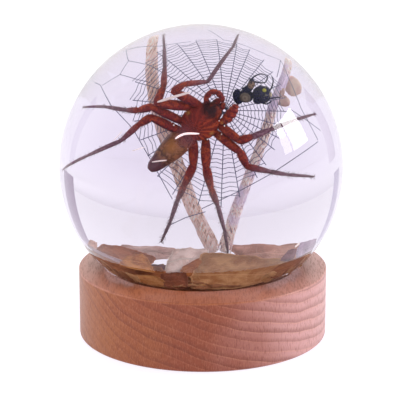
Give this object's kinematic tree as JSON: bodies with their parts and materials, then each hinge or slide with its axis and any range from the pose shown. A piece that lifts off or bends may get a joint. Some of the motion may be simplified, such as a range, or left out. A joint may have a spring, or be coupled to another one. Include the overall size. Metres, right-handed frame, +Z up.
{
  "type": "spider in a resin globe on a wood base",
  "caption": "Clear resin globe with a flat foot on a turned wood base; sealed in it are a spider on its orb web, twigs, a fly, dried petals and a bed of dead leaves.",
  "frame": {"origin": "centre of the wood base's underside, on the surface it stands on", "axes": "+Z up through the globe, -Y towards the viewer who faces the spider, +X to that viewer's right"},
  "size_m": [0.09, 0.09, 0.0997],
  "materials": {
    "wood": "satin",
    "resin": "polished",
    "spider": "satin",
    "web": "matte",
    "twig": "matte",
    "fly": "satin",
    "petal": "matte",
    "leaf_tan": "matte",
    "leaf_brown": "matte",
    "leaf_pale": "matte"
  },
  "bodies": {
    "root": {"wood_base": "wood", "globe_front": "resin", "globe_back": "resin", "spider": "spider", "web": "web", "twig_left": "twig", "twig_right": "twig", "prey_fly": "fly", "dried_petals": "petal", "leaf_right": "leaf_tan", "leaf_front_right": "leaf_tan", "leaf_tan": "leaf_tan", "leaf_back_left": "leaf_tan", "leaf_back_right": "leaf_tan", "leaf_left": "leaf_brown", "leaf_front_left": "leaf_brown", "leaf_dark": "leaf_brown", "leaf_pale": "leaf_pale", "leaf_scrap": "leaf_pale"}
  },
  "joints": []
}
